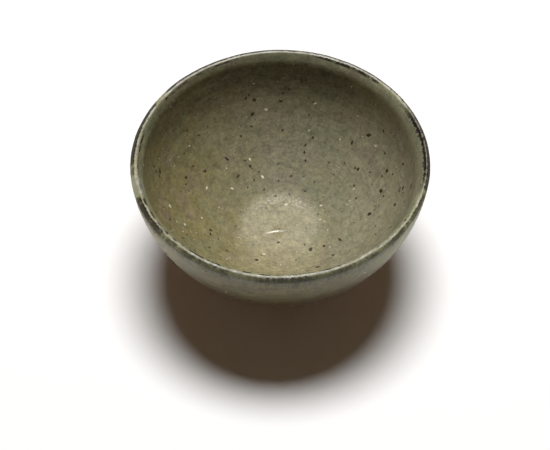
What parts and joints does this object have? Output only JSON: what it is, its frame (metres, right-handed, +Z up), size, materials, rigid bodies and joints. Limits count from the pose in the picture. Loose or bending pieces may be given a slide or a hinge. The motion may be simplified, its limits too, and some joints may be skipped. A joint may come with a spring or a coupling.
{
  "type": "handleless teacup",
  "caption": "Round bowl-shaped stoneware teacup without a handle, with a thin rounded lip and a foot ring, speckled glaze inside and out, for hot tea.",
  "frame": {"origin": "on the cup's axis, on the surface that its foot ring stands on", "axes": "+Z up along the cup's axis, towards the lip"},
  "size_m": [0.088, 0.088, 0.047],
  "materials": {
    "fired_clay": "bare fired stoneware, turned and slightly gritty",
    "inside_glaze": "semi-matt olive ash glaze with iron specks and pale grains",
    "outside_glaze": "satin grey-green ash glaze with iron specks",
    "iron_wash": "glossy iron-dark wash that breaks to the glaze beside it"
  },
  "bodies": {
    "root": {"clay_bowl": "fired_clay", "foot_ring": "fired_clay", "inside_glaze": "inside_glaze", "outside_glaze": "outside_glaze", "iron_lip": "iron_wash"}
  },
  "joints": []
}
